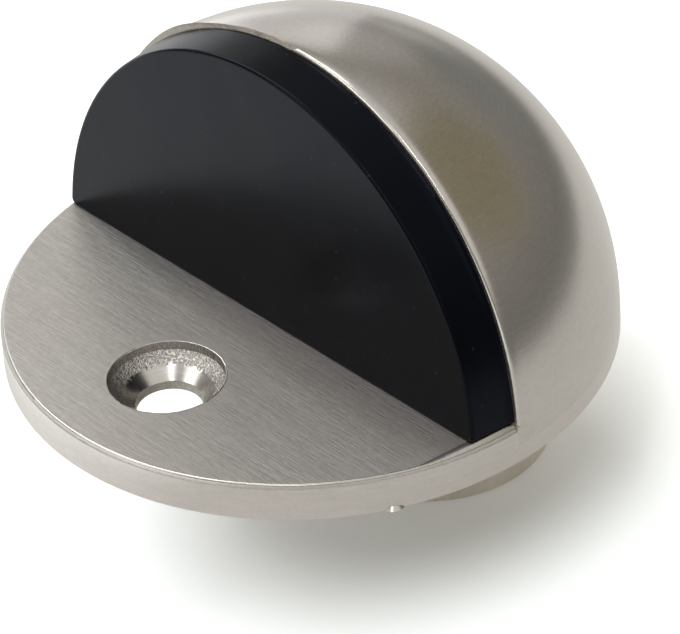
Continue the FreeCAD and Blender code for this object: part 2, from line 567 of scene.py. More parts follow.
@dataclass
class SteelBody:
    """The one-piece steel body: dome, plate, screw hole and spigot."""

    sizes: StopSizes
    mesh: Mesh = field(default_factory=bmesh.new)
    merge_gap: float = 0.0005 * MM
    cut_gap: float = 0.001 * MM
    skin_depth: float = 0.0015 * MM
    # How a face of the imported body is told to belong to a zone
    same: float = 0.02 * MM
    nib_proud: float = 0.04 * MM
    mouth_gap: float = 0.005 * MM
    underside_gap: float = 0.01 * MM
    dome_gap: float = 0.06 * MM
    side_gap: float = 0.2 * MM
    hidden_depth: float = 1.0 * MM
    flat: float = 0.999
    domed: float = 0.985
    upright: float = 0.08
    bevel: float = math.sqrt(0.5)
    bevel_spread: float = 0.05
    one_surface: float = 0.75
    # Screw hole
    mouth_cuts: int = 3
    mouth_wobble: float = 0.035 * MM
    mouth_waves: float = 9.0
    mouth_burr: float = 0.05 * MM
    wall_waves: float = 11.0
    wall_drift: float = 3.0 / MM
    hole_from: float = 1.0 * MM
    fray_from: float = 1.50 * MM
    fray_to: float = 1.66 * MM
    fray_waver: Waver = Waver(1.0 / 16.0, 0.7, 2.2, 3)
    sink: tuple[SinkBand, ...] = (
        SinkBand(Zone.SINK_CONE, ((4.258, 2.920), (4.212, 2.896))),
        SinkBand(Zone.SINK_WALL, ((4.200, 2.850), (4.19, 2.60), (4.18, 2.36))),
        SinkBand(Zone.SINK_GRAIN, (
            (4.14, 2.24), (4.02, 2.15), (3.88, 2.04), (3.72, 1.92), (3.55, 1.80),
            (3.48, 1.75), (3.41, 1.69), (3.34, 1.63), (3.28, 1.57), (3.22, 1.51))),
        SinkBand(Zone.SINK_CONE, ((3.16, 1.45), (3.00, 1.30), (2.70, 1.00), (2.43, 0.72))),
        SinkBand(Zone.SINK_WALL, ((2.40, 0.66), (2.40, 0.35))),
    )
    # Rim of the seat, with the lip that the saw left
    rim_cuts: int = 5
    rim_long_edge: float = 0.3 * MM
    rim_foot: float = 0.4 * MM
    rim_wobble: float = 0.055 * MM
    rim_seat_share: float = 0.5
    rim_break: float = 0.22 * MM
    rim_waver: Waver = Waver(1.7 * MM, 0.8, 2.3, 3)
    # From this angle round to the lip's far end, the rim takes the seat's dark finish as painted shade
    painted_shade_from: float = math.radians(89.0)
    lip_height: float = 0.30 * MM
    lip_middle: float = math.radians(125.0)
    lip_reach: float = math.radians(17.0)
    # Soft roll of the dome beside the seat
    roll_reach: float = 1.0 * MM
    roll_turn: float = math.radians(34.0)
    roll_cuts: tuple[float, ...] = (0.36, 0.48, 0.62, 0.80, 1.0)
    roll_fade_from: float = math.radians(74.0)
    roll_fade_to: float = math.radians(98.0)
    # Small rounding of the plate's edge: shares of its height, and the turn there in degrees
    edge_break: float = 0.3 * MM
    edge_shares: tuple[float, ...] = (0.0, 0.2, 0.55, 1.0)
    edge_turns: tuple[float, ...] = (0.0, 20.0, 80.0, 90.0)
    # The edge's left stretch gets a softer rounding, and its finish a darker tint as painted shade
    soft_edge_turns: tuple[float, ...] = (6.0, 24.0, 58.0, 86.0)
    soft_edge_from: float = math.radians(178.0)
    soft_edge_to: float = math.radians(257.0)
    # Soft corner of the plate beside the buffer's foot, which takes the side's lighter tint as painted light
    corner_side: float = math.radians(-7.0)
    corner_from: float = 21.3 * MM
    corner_to: float = 22.2 * MM
    corner_turn: float = math.radians(42.0)
    corner_cuts: tuple[float, ...] = (0.0, 0.2, 0.4, 0.6, 0.8)

    def finishes(self) -> dict[Zone, SteelFinish]:
        """Finishes of the body.

        Returns:
            The finish of each zone.
        """
        spigot = (0.0, self.sizes.spigot_offset, -1.0)
        hole = (0.0, -self.sizes.screw_offset, -0.02)
        dome = SteelFinish(
            "satin_dome", (0.565, 0.532, 0.509), 0.20, Marks.TURNED, (30.0, 420.0, 60.0), 0.6,
            shade=0.07, relief=1.3e-6, grain=3400.0, grain_shade=0.05, grain_relief=1.3e-6,
            centre=tuple(self.sizes.dome_centre))
        # The side is the dome's satin finish with a lighter tint: painted light
        side = replace(dome, name="satin_side_painted_light", tint=(0.60, 0.566, 0.545))
        edge = SteelFinish(
            "bright_plate_edge", (0.56, 0.535, 0.50), 0.27, Marks.TURNED, (60.0, 300.0, 60.0), 0.7,
            shade=0.12, relief=3.0e-6, grain_relief=2.0e-6)
        # The hole's wall has a tint darker than the rest of the steel: painted shade in the hole, over its
        # rough finish
        sink = SteelFinish(
            "rough_sink", (0.44, 0.415, 0.375), 0.27, Marks.TURNED, (30.0, 12.0, 900.0), 0.6,
            shade=0.10, relief=3.0e-6, grain=7600.0, grain_shade=0.30, grain_relief=20e-6, centre=hole)
        return {
            Zone.DOME: dome,
            Zone.PLATE_TOP: SteelFinish(
                "brushed_plate", (0.47, 0.453, 0.430), 0.47, Marks.STRAIGHT, (600.0, 9000.0, 400.0), 0.64,
                shade=0.14, relief=11.0e-6, cloud=60.0, cloud_shade=0.30, stain=(0.44, 0.395, 0.37),
                grain_shade=0.10, grain_relief=3.0e-6),
            Zone.SIDE: side,
            Zone.PLATE_EDGE: edge,
            Zone.SEAT_RIM: SteelFinish(
                "bright_seat_rim", (0.61, 0.585, 0.545), 0.24, Marks.TURNED, (90.0, 90.0, 60.0), 0.6,
                shade=0.10, relief=2.0e-6, grain_relief=2.0e-6),
            Zone.SINK_WALL: sink,
            Zone.SINK_CONE: SteelFinish(
                "bored_cone", (0.60, 0.585, 0.562), 0.25, Marks.TURNED, (1.5, 40.0, 9000.0), 0.7,
                shade=0.08, grain_relief=1.0e-6, centre=hole),
            # The spigot's tint is far lighter than the rest of the steel: painted light against the shadowed
            # floor it mirrors
            Zone.SPIGOT: SteelFinish(
                "turned_spigot_painted_light", (0.93, 0.87, 0.79), 0.40, Marks.TURNED, (10.0, 9000.0, 60.0), 0.6,
                shade=0.10, relief=2.0e-6, centre=spigot),
            Zone.UNDERSIDE: SteelFinish(
                "plain_underside", (0.52, 0.50, 0.47), 0.42, Marks.STRAIGHT, (420.0, 6200.0, 400.0), 0.6,
                shade=0.10, relief=3.0e-6),
            # The seat's tint is darker than the rest of the steel: painted shade where it shows between the
            # buffer and the dome's rim; its marks and grain are the milled finish
            Zone.SEAT: SteelFinish(
                "milled_seat", (0.34, 0.31, 0.28), 0.42, Marks.STRAIGHT, (700.0, 700.0, 5200.0), 0.7,
                shade=0.16, relief=3.0e-6, grain=5200.0, grain_shade=0.25, grain_relief=12e-6),
            # Left stretch of the plate's edge: a softer rounding, and a tint darker than the edge's, which is
            # painted shade in place of its highlight
            Zone.SOFT_EDGE: replace(
                edge, name="soft_plate_edge_painted_shade", tint=(0.50, 0.485, 0.46), roughness=0.42,
                contrast=0.6, shade=0.08),
            # The granular band's tint is much lighter than the wall's: painted glints over its real grain
            Zone.SINK_GRAIN: replace(
                sink, name="grainy_sink", tint=(0.76, 0.73, 0.69), roughness=0.24,
                shade=0.06, grain_shade=0.62, grain_relief=32e-6),
            # The plate's corner beside the buffer's foot takes the side's lighter tint: painted light on a
            # strip that the buffer shades
            Zone.FOOT_CORNER: replace(side, name="soft_foot_corner_painted_light", roughness=0.30),
        }

    def zone(self, centre: Vector, normal: Vector) -> Optional[Zone]:
        """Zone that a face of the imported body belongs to.

        Args:
            centre: The face's centre.
            normal: The face's normal.

        Returns:
            The zone, or None on the screw hole's wall, which is built anew.
        """
        s = self.sizes
        radial = centre - s.dome_centre
        before = s.before_seat(centre)
        on_sphere = abs(radial.length - s.dome_radius) < self.dome_gap
        on_bevel = abs(abs(normal.z) - self.bevel) < self.bevel_spread
        if centre.xy.length > s.dome_radius + self.nib_proud:
            return Zone.SIDE
        if math.hypot(centre.x, centre.y + s.screw_offset) < s.screw_mouth_radius and (
                self.underside_gap < centre.z < s.plate_thickness - self.mouth_gap):
            return None
        if centre.z < -self.underside_gap:
            return Zone.SPIGOT
        if normal.z < -self.flat:
            return Zone.UNDERSIDE
        if normal.z > self.flat and abs(centre.z - s.plate_thickness) < self.same:
            return Zone.PLATE_TOP
        if centre.z > s.dome_centre_height and before < self.same and (
                on_sphere and normal.dot(radial.normalized()) > self.domed):
            return Zone.DOME
        if abs(centre.xy.length - s.dome_radius) < self.side_gap and abs(normal.z) < self.upright:
            return Zone.SIDE
        if normal.dot(s.seat_normal) > self.flat or before < -self.hidden_depth:
            return Zone.SEAT
        if on_bevel and before > 0 and centre.z < s.plate_thickness:
            turn = math.atan2(centre.y, centre.x) % (2 * math.pi)
            return Zone.SOFT_EDGE if self.soft_edge_from < turn < self.soft_edge_to else Zone.PLATE_EDGE
        return Zone.SEAT_RIM

    def faces_of(self, *zones: Zone) -> list[Face]:
        """The faces of some zones."""
        return [face for face in self.mesh.faces if Zone(face.material_index) in zones]

    def cut(self, faces: Sequence[Face], place: Vector, normal: Vector) -> list[Vert]:
        """Cuts some faces along a plane.

        Args:
            faces: The faces.
            place: A point on the plane.
            normal: The plane's normal.

        Returns:
            The vertices on the cut.
        """
        parts = dict.fromkeys(part for face in faces for part in (face, *face.edges, *face.verts))
        made = bmesh.ops.bisect_plane(
            self.mesh, geom=list(parts), dist=self.cut_gap, plane_co=place, plane_no=normal)
        return [part for part in made["geom_cut"] if isinstance(part, Vert)]

    def rebuild_sink(self) -> None:
        """Replaces the screw hole's deleted wall with a finer one, whose mouth is slightly uneven."""
        middle = Vector((0, -self.sizes.screw_offset, 0))
        top = [edge for edge in self.mesh.edges if edge.is_boundary and edge.verts[0].co.z > self.hole_from]
        bmesh.ops.subdivide_edges(self.mesh, edges=top, cuts=self.mouth_cuts)
        mouth, foot = [], []
        for vert in self.mesh.verts:
            if vert.is_boundary:
                (mouth if vert.co.z > self.hole_from else foot).append(vert)
        for rim in (mouth, foot):
            rim.sort(key=lambda vert: self.around(vert.co - middle))
        radius = max((vert.co - middle).xy.length for vert in mouth)
        angles = [self.around(vert.co - middle) for vert in mouth]
        for vert, angle in zip(mouth, angles):
            wave = noise.noise(spoke(angle) * self.mouth_waves) * self.mouth_wobble
            vert.co = middle + spoke(angle) * (radius + wave) + UP * vert.co.z
        upper, zone = mouth, Zone.SINK_CONE
        for band in self.sink:
            for reach, height in band.rings:
                lower = []
                for angle in angles:
                    outward = reach * MM + self.sink_wave(band.zone, height * MM, spoke(angle))
                    lower.append(self.mesh.verts.new(middle + spoke(angle) * outward + UP * height * MM))
                self.join(upper, lower, zone)
                upper, zone = lower, band.zone
        self.join(upper, foot, zone)
        self.fray(middle)

    @staticmethod
    def around(offset: Vector) -> float:
        """Angle of a level offset from +X, in radians."""
        return math.atan2(offset.y, offset.x)

    def sink_wave(self, below: Zone, height: float, way: Vector) -> float:
        """How far a ring of the screw hole strays outwards.

        Args:
            below: Zone of the wall below the ring.
            height: Height of the ring.
            way: Direction from the middle of the hole.

        Returns:
            The distance in metres.
        """
        if height > self.sizes.plate_thickness - self.mouth_burr:
            return noise.noise(way * self.mouth_waves) * self.mouth_wobble
        if below is Zone.SINK_CONE or height < self.hole_from:
            return 0.0
        return noise.noise(way * self.wall_waves + UP * height * self.wall_drift) * self.mouth_wobble

    def join(self, upper: Sequence[Vert], lower: Sequence[Vert], zone: Zone) -> None:
        """Joins two closed rings of vertices, which may differ in number, and sets their zone.

        Args:
            upper: Vertices of the upper ring, by angle.
            lower: Vertices of the lower ring, by angle.
            zone: Zone of the new faces.
        """
        above, under = len(upper), len(lower)
        i = j = 0
        while i < above or j < under:
            corners = [upper[i % above], lower[j % under]]
            along_upper = j >= under or (i < above and (i + 1) / above <= (j + 1) / under + JOIN_SLACK)
            if above == under or not along_upper:
                j += 1
                corners.append(lower[j % under])
            if along_upper:
                i += 1
                corners.append(upper[i % above])
            self.mesh.faces.new(corners).material_index = zone.value

    def fray(self, middle: Vector) -> None:
        """Lets the granular step of the screw hole end in a ragged line over the smooth cone.

        Args:
            middle: Middle of the screw hole.
        """
        for face in self.faces_of(Zone.SINK_GRAIN):
            centre = face.calc_center_median()
            share = 0.5 + self.fray_waver.at((centre - middle).xy.normalized().to_3d())
            if centre.z < self.fray_from + (self.fray_to - self.fray_from) * share:
                face.material_index = Zone.SINK_CONE.value

    def cut_edge(self) -> None:
        """Cuts the plate's narrow bevel into three bands, which carry its small rounded edge."""
        for share in self.edge_shares[1:-1]:
            height = self.sizes.plate_thickness - share * self.edge_break
            self.cut(self.faces_of(Zone.PLATE_EDGE, Zone.SOFT_EDGE), UP * height, UP)

    def cut_corner(self) -> None:
        """Cuts the plate's corner beside the buffer's foot into bands, which carry its soft roll."""
        way = spoke(self.corner_side)
        for share in self.corner_cuts:
            reach = self.corner_from + share * (self.corner_to - self.corner_from)
            self.cut(self.faces_of(Zone.PLATE_TOP), way * reach, way)
        # Painted light: these faces take the side's lighter finish instead of the plate's
        for face in self.faces_of(Zone.PLATE_TOP):
            if self.corner_lean(face.calc_center_median()) > 0:
                face.material_index = Zone.FOOT_CORNER.value

    def corner_lean(self, point: Vector) -> float:
        """How far the plate's surface leans outwards near the corner beside the buffer's foot.

        Args:
            point: A point of the plate's upper side.

        Returns:
            The lean in radians.
        """
        reach = point.x * math.cos(self.corner_side) + point.y * math.sin(self.corner_side)
        share = held((reach - self.corner_from) / (self.corner_to - self.corner_from))
        return self.corner_turn * share * share * (3 - 2 * share)

    def cut_roll(self) -> None:
        """Cuts the dome beside the seat into narrow bands, which carry its edge's soft roll."""
        s = self.sizes
        for share in self.roll_cuts:
            near = [face for face in self.faces_of(Zone.DOME)
                    if any(s.before_seat(vert.co) > -2 * self.roll_reach for vert in face.verts)]
            place = s.seat_middle - s.seat_normal * self.roll_reach * share
            for vert in self.cut(near, place, s.seat_normal):
                radial = vert.co - s.dome_centre
                vert.co = s.dome_centre + radial.normalized() * (s.dome_radius - self.skin_depth)

    def rolled(self, point: Vector) -> Vector:
        """Normal of the dome, turned towards the seat where its edge is rolled over.

        Args:
            point: A point of the dome.

        Returns:
            The unit normal.
        """
        s = self.sizes
        radial = point - s.dome_centre
        plain = radial.normalized()
        share = held(1 + s.before_seat(point) / self.roll_reach)
        fade = held((self.roll_fade_to - self.turn(radial)) / (self.roll_fade_to - self.roll_fade_from))
        turn = self.roll_turn * share * share * fade
        aside = (s.seat_normal - plain * plain.dot(s.seat_normal)).normalized()
        return plain * math.cos(turn) + aside * math.sin(turn)

    def wear_rim(self) -> None:
        """Makes the seat rim's narrow bevel uneven, as if broken by hand, and gives its left part the seat's
        dark finish as painted shade.
        """
        s = self.sizes
        rim = dict.fromkeys(self.faces_of(Zone.SEAT_RIM))
        along = dict.fromkeys(
            edge for face in rim for edge in face.edges
            if edge.calc_length() > self.rim_long_edge and sum(f in rim for f in edge.link_faces) == 1)
        bmesh.ops.subdivide_edges(self.mesh, edges=list(along), cuts=self.rim_cuts)
        for vert in self.mesh.verts:
            zones = {Zone(face.material_index) for face in vert.link_faces}
            if Zone.SEAT_RIM not in zones or vert.co.z < s.plate_thickness + self.rim_foot:
                continue
            wave = self.rim_waver.at(vert.co) * self.rim_wobble
            radial = vert.co - s.dome_centre
            if Zone.DOME in zones:
                reach = s.dome_radius - self.skin_depth + self.lip(radial)
                vert.co = s.dome_centre + (radial - s.seat_normal * wave).normalized() * reach
            elif Zone.SEAT in zones:
                flat = radial - s.seat_normal * radial.dot(s.seat_normal)
                vert.co += flat.normalized() * wave * self.rim_seat_share
        # Painted shade: the rim's left part, beside the buffer, takes the seat's dark finish
        for face in self.faces_of(Zone.SEAT_RIM):
            turn = self.turn(face.calc_center_median() - s.dome_centre)
            if self.painted_shade_from < turn < self.lip_middle + self.lip_reach:
                face.material_index = Zone.SEAT.value

    def turn(self, radial: Vector) -> float:
        """Angle round the seat of a point seen from the dome's centre, from 0 at its right end."""
        return math.atan2(radial.dot(self.sizes.seat_rise), radial.x)

    def lip(self, radial: Vector) -> float:
        """How far the saw's lip stands proud at a point of the rim seen from the dome's centre, in metres."""
        away = (self.turn(radial) - self.lip_middle) / self.lip_reach
        return self.lip_height * (1 - away * away) ** 2 if abs(away) < 1 else 0.0

    def plate_turn(self, zone: Zone, point: Vector) -> float:
        """How far the surface has turned outwards on the plate's soft corner or its small rounded edge.

        Args:
            zone: The corner's or the edge's zone.
            point: A point there.

        Returns:
            The turn in radians.
        """
        lean = self.corner_lean(point)
        if zone is Zone.FOOT_CORNER:
            return lean
        share = (self.sizes.plate_thickness - point.z) / self.edge_break
        turns = self.soft_edge_turns if zone is Zone.SOFT_EDGE else self.edge_turns
        turn = math.radians(float(np.interp(share, self.edge_shares, turns)))
        return lean + turn * (1 - lean / (math.pi / 2))

    def loop_normal(self, face: Face, vert: Vert) -> Vector:
        """Normal of the surface that a face stands for, at one of its corners.

        Args:
            face: The face.
            vert: One of its vertices.

        Returns:
            The unit normal.
        """
        s = self.sizes
        zone = Zone(face.material_index)
        point, slope = vert.co, face.normal.z
        outward = Vector((point.x, point.y, 0)).normalized()
        if zone is Zone.DOME:
            return self.rolled(point)
        if zone is Zone.SIDE and point.xy.length <= s.dome_radius + self.same and abs(slope) <= self.upright:
            return (point - s.dome_centre).normalized() if point.z > s.dome_centre_height else outward
        if zone is Zone.SPIGOT and abs(slope) < self.flat:
            side = Vector((point.x, point.y - s.spigot_offset, 0)).normalized()
            return (side * math.sqrt(1 - slope * slope) + UP * slope).normalized()
        if zone in (Zone.PLATE_EDGE, Zone.SOFT_EDGE, Zone.FOOT_CORNER):
            turn = self.plate_turn(zone, point)
            return outward * math.sin(turn) + UP * math.cos(turn)
        if zone is Zone.SEAT_RIM:
            deep = held(-s.before_seat(point) / self.rim_break)
            return (self.rolled(point) * deep + s.seat_normal * (1 - deep)).normalized()
        if zone in (Zone.SIDE, Zone.SINK_WALL, Zone.SINK_GRAIN, Zone.SINK_CONE, Zone.SEAT):
            return self.mean_normal(face, vert)
        return face.normal.copy()

    def mean_normal(self, face: Face, vert: Vert) -> Vector:
        """Mean normal of the faces round a vertex that carry on a face's surface.

        Args:
            face: The face.
            vert: One of its vertices.

        Returns:
            The unit normal.
        """
        near = (other for other in vert.link_faces if other.material_index == face.material_index)
        parts = (f.normal * f.calc_area() for f in near if f.normal.dot(face.normal) > self.one_surface)
        return sum(parts, Vector()).normalized()

    def build(self, kit: GroupKit) -> bpy.types.Object:
        """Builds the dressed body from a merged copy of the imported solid.

        Args:
            kit: The shared node groups.

        Returns:
            The finished piece.
        """
        mesh = self.mesh
        mesh.from_mesh(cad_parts["body"].data)
        bmesh.ops.remove_doubles(mesh, verts=mesh.verts, dist=self.merge_gap)
        mesh.normal_update()
        old_wall = []
        for face in mesh.faces:
            zone = self.zone(face.calc_center_median(), face.normal)
            if zone is None:
                old_wall.append(face)
            else:
                face.material_index = zone.value
        bmesh.ops.delete(mesh, geom=old_wall, context="FACES")
        for step in (self.rebuild_sink, self.cut_edge, self.cut_corner, self.cut_roll, self.wear_rim):
            step()
        mesh.normal_update()
        normals = [self.loop_normal(loop.face, loop.vert) for face in mesh.faces for loop in face.loops]
        finishes = self.finishes()
        piece = finished("steel_body", mesh, [finishes[zone].material(kit) for zone in Zone])
        piece.data.normals_split_custom_set(normals)
        return piece


@dataclass(frozen=True)
class Ring:
    """One ring of the buffer's skin, as an inset of its outline at a depth over the seat."""

    depth: float
    inset: float
    foot_inset: float = 0.0
    flash: float = 0.0


@dataclass
class RubberBuffer:
    """The moulded half-moon buffer with its soft front edge, thin flash and pegs."""

    sizes: StopSizes
    mesh: Mesh = field(default_factory=bmesh.new)
    thickness: float = 3.25 * MM
    rim_inset: float = 0.3 * MM
    sideways: float = -0.25 * MM
    draft: float = math.radians(7.5)
    corner: float = 0.35 * MM
    edge: float = 0.26 * MM
    edge_foot_inset: float = 0.05 * MM
    foot_clearance: float = 0.06 * MM
    skew: float = 0.06
    skew_reach: float = 22.0 * MM
    sharp_from: float = math.radians(50.0)
    # Skin, from the back edge to the front: rings, then depths with their flash, then insets of edge and foot
    back_rings: tuple[Ring, ...] = (
        Ring(0.0, 0.12 * MM, 0.03 * MM, 1.0),
        Ring(0.02 * MM, 0.04 * MM, 0.01 * MM, 1.0),
        Ring(0.06 * MM, 0.03 * MM, 0.005 * MM, 0.92),
    )
    side_rings: tuple[Pair, ...] = (
        (0.12 * MM, 0.35), (0.25 * MM, 0.05), (0.6 * MM, 0.0), (1.5 * MM, 0.0), (2.3 * MM, 0.0))
    front_rings: tuple[Pair, ...] = ((0.05 * MM, 0.06 * MM), (0.50 * MM, 0.20 * MM))
    front_middle: float = 8.5 * MM
    front_shares: tuple[float, ...] = (0.93, 0.84, 0.74, 0.63, 0.52, 0.41, 0.30, 0.20, 0.10)
    wave: float = 0.025 * MM
    waver: Waver = Waver(7 * MM, 0.8, 2.0, 2)
    base_steps: int = 90
    corner_steps: int = 8
    arc_steps: int = 260
    edge_steps: int = 6
    # Flash on the right side
    flash_width: float = 0.24 * MM
    flash_end: float = math.radians(98.0)
    flash_fade: float = math.radians(45.0)
    flash_mean: float = 0.8
    flash_spread: float = 0.5
    flash_waves: float = 7.0
    # Pegs
    peg_radius: float = 3.0 * MM
    peg_length: float = 5.0 * MM
    peg_chamfer: float = 0.3 * MM
    peg_neck: float = 0.1 * MM
    peg_root: float = 0.4 * MM
    peg_spacing: float = 18.0 * MM
    peg_height: float = 7.0 * MM
    peg_steps: int = 48

    def rings(self) -> list[Ring]:
        """Rings of the skin.

        Returns:
            The rings from the back edge, over the side and the round edge, to the front.
        """
        slope = math.tan(self.draft)
        top = self.thickness - self.edge
        found = list(self.back_rings)
        found += (Ring(depth, depth * slope, 0.0, flash) for depth, flash in self.side_rings)
        for step in range(self.edge_steps + 1):
            share = step / self.edge_steps
            angle = math.pi / 2 * share
            inset = top * slope + self.edge * (1 - math.cos(angle))
            found.append(Ring(top + self.edge * math.sin(angle), inset, self.edge_foot_inset * share))
        for inset, foot_inset in self.front_rings:
            found.append(Ring(self.thickness, top * slope + self.edge + inset, foot_inset))
        return found

    @staticmethod
    def arc(across: float, rise: float, radius: float, start: float, end: float, steps: int) -> list[Pair]:
        """Points of an arc, without its last one.

        Args:
            across: The centre's place sideways.
            rise: The centre's place upwards.
            radius: Radius of the arc.
            start: Angle at its start.
            end: Angle at its end.
            steps: Number of points.

        Returns:
            The points, by angle.
        """
        angles = (start + (end - start) * step / steps for step in range(steps))
        return [(across + radius * math.cos(angle), rise + radius * math.sin(angle)) for angle in angles]

    def outline(self, ring: Ring) -> list[Pair]:
        """Half-moon outline of one ring, in the seat's own sideways and upward directions.

        Args:
            ring: The ring.

        Returns:
            The points, anticlockwise from the left end of the straight foot.
        """
        s = self.sizes
        radius = s.dome_radius - self.rim_inset - ring.inset
        clear = s.plate_thickness + self.foot_clearance - s.dome_centre_height
        foot = (clear - ring.depth * math.sin(s.seat_lean)) / math.cos(s.seat_lean) + ring.foot_inset
        middle = foot + self.corner
        reach = math.sqrt((radius - self.corner) ** 2 - middle ** 2)
        turn = math.atan2(middle, reach)
        points = [(reach * (2 * step / self.base_steps - 1), foot) for step in range(self.base_steps)]
        points += self.arc(reach, middle, self.corner, -math.pi / 2, turn, self.corner_steps)
        points += self.arc(0.0, 0.0, radius, turn, math.pi - turn, self.arc_steps)
        points += self.arc(-reach, middle, self.corner, math.pi - turn, 1.5 * math.pi, self.corner_steps)
        return [self.spread(across, rise, ring) for across, rise in points]

    def spread(self, across: float, rise: float, ring: Ring) -> Pair:
        """Moves a point of the outline outwards where the moulding's thin flash covers the rim's right side.

        Args:
            across: The point's place sideways.
            rise: The point's place upwards.
            ring: Its ring.

        Returns:
            The moved point.
        """
        radius = math.hypot(across, rise)
        angle = math.atan2(rise, across)
        free = self.sizes.dome_radius - self.rim_inset - ring.inset
        near_rim = held((radius - free + self.flash_width) / self.flash_width)
        side = held((self.flash_end - angle) / self.flash_fade)
        uneven = self.flash_mean + self.flash_spread * noise.noise(spoke(angle) * self.flash_waves)
        grown = 1.0 + self.flash_width * ring.flash * near_rim * side * uneven / radius
        return across * grown, rise * grown

    def place(self, across: float, rise: float, depth: float) -> Vector:
        """Point in the row frame from a place on the seat and a depth over it.

        Args:
            across: Distance to the right of the buffer's middle, in metres.
            rise: Distance up along the seat from the dome's centre.
            depth: Distance in front of the seat where the slab has its mean thickness.

        Returns:
            The point; the slab is a little thicker at its right end than at its left.
        """
        s = self.sizes
        thicker = 1.0 + self.skew * across / self.skew_reach
        aside = Vector((across + self.sideways, 0, 0))
        return s.seat_middle + aside + s.seat_rise * rise + s.seat_normal * depth * thicker

    def peg(self, side: int) -> None:
        """Adds one closed peg that runs from inside the slab back into the dome.

        Args:
            side: -1 for the left peg and 1 for the right one.
        """
        s = self.sizes
        across = side * self.peg_spacing / 2
        rise = (s.plate_thickness + self.peg_height - s.dome_centre_height) / math.cos(s.seat_lean)
        loops = []
        for depth, inset in ((-self.peg_length, self.peg_chamfer), (self.peg_chamfer - self.peg_length, 0.0),
                             (-self.peg_neck, 0.0), (self.peg_root, 0.0)):
            points = self.arc(across, rise, self.peg_radius - inset, 0.0, 2 * math.pi, self.peg_steps)
            loops.append([self.mesh.verts.new(self.place(*point, depth)) for point in points])
        self.bridge(loops)
        self.mesh.faces.new(loops[0][::-1])
        self.mesh.faces.new(loops[-1])

    def bridge(self, loops: Sequence[Sequence[Vert]]) -> None:
        """Joins neighbouring rings of vertices with quads.

        Args:
            loops: The rings, which all have the same number of vertices.
        """
        for lower, upper in zip(loops, loops[1:]):
            count = len(lower)
            for k in range(count):
                self.mesh.faces.new((lower[k], lower[(k + 1) % count], upper[(k + 1) % count], upper[k]))

    def build(self, kit: GroupKit) -> bpy.types.Object:
        """Builds the dressed buffer.

        Args:
            kit: The shared node groups.

        Returns:
            The finished piece.
        """
        mesh = self.mesh
        loops = []
        for ring in self.rings():
            outline = self.outline(ring)
            loops.append([mesh.verts.new(self.place(*point, ring.depth)) for point in outline])
        for share in self.front_shares:
            loop = []
            for x, y in outline:
                across, rise = x * share, self.front_middle + (y - self.front_middle) * share
                bulge = self.waver.at(Vector((across, rise, 0))) * self.wave
                loop.append(mesh.verts.new(self.place(across, rise, self.thickness + bulge)))
            loops.append(loop)
        self.bridge(loops)
        tip = mesh.verts.new(self.place(0.0, self.front_middle, self.thickness))
        for here, following in zip(loops[-1], loops[-1][1:] + loops[-1][:1]):
            mesh.faces.new((here, following, tip))
        mesh.faces.new(loops[0][::-1])
        for side in (-1, 1):
            self.peg(side)
        bmesh.ops.recalc_face_normals(mesh, faces=mesh.faces)
        piece = finished("buffer_pad", mesh, [RubberFinish().material(kit)])
        piece.data.set_sharp_from_angle(angle=self.sharp_from)
        return piece


# Studio


@dataclass(frozen=True)
class Lamp:
    """A soft oblong lamp at a direction from the object, as bright all over as its glow."""

    name: str
    azimuth: float
    elevation: float
    width: float
    height: float
    glow: float
    distance: float = 0.6

    def build(self, target: Vector) -> None:
        """Adds the lamp to the scene.

        Args:
            target: The point that it is turned towards.
        """
        away = direction(self.azimuth, self.elevation)
        data = bpy.data.lights.new(self.name, "AREA")
        data.shape = "RECTANGLE"
        data.size, data.size_y = self.width, self.height
        data.energy = math.pi * self.width * self.height * self.glow
        lamp = bpy.data.objects.new(self.name, data)
        lamp.location = target + away * self.distance
        lamp.rotation_euler = (-away).to_track_quat("-Z", "Y").to_euler()
        bpy.context.scene.collection.objects.link(lamp)


@dataclass(frozen=True)
class Card:
    """A soft round patch of the surroundings that the dome mirrors, in degrees."""

    azimuth: float
    elevation: float
    reach: float
    tint: Triple
    core: float = 1.0 / 3.0

    def over(self, graph: Graph, way: Socket, colour: Socket) -> Socket:
        """Lays the patch over the surroundings.

        Args:
            graph: The surroundings' graph.
            way: Direction in which the surroundings are seen.
            colour: Their colour so far.

        Returns:
            The new colour.
        """
        reach = math.radians(self.reach)
        nearness = graph.dot(way, direction(self.azimuth, self.elevation))
        mask = graph.remap(nearness, math.cos(reach), math.cos(reach * self.core))
        return graph.mix(mask, colour, self.tint)


@dataclass(frozen=True)
class Viewpoint:
    """The photograph's camera."""

    azimuth: float = math.radians(49.2407)
    elevation: float = math.radians(35.9436)
    roll: float = math.radians(-4.0126)
    distance: float = 280.927 * MM
    aside: float = 2.0973 * MM
    above: float = 0.4319 * MM
    base_height: float = 0.1965 * MM
    lens: float = 203.932
    sensor: float = 36.0
    clip: Pair = (0.01, 20.0)

    def build(self) -> None:
        """Adds the camera and makes it the scene's own."""
        a, e, r = self.azimuth, self.elevation, self.roll
        back = Vector((math.sin(a) * math.cos(e), -math.cos(a) * math.cos(e), math.sin(e)))
        level = spoke(a)
        steep = back.cross(level)
        right = level * math.cos(r) + steep * math.sin(r)
        up = steep * math.cos(r) - level * math.sin(r)
        data = bpy.data.cameras.new("camera")
        data.lens = self.lens
        data.sensor_width = self.sensor
        data.clip_start, data.clip_end = self.clip
        camera = bpy.data.objects.new("camera", data)
        place = UP * self.base_height + back * self.distance + right * self.aside + up * self.above
        camera.matrix_world = Matrix.Translation(place) @ Matrix((right, up, back)).transposed().to_4x4()
        bpy.context.scene.collection.objects.link(camera)
        bpy.context.scene.camera = camera


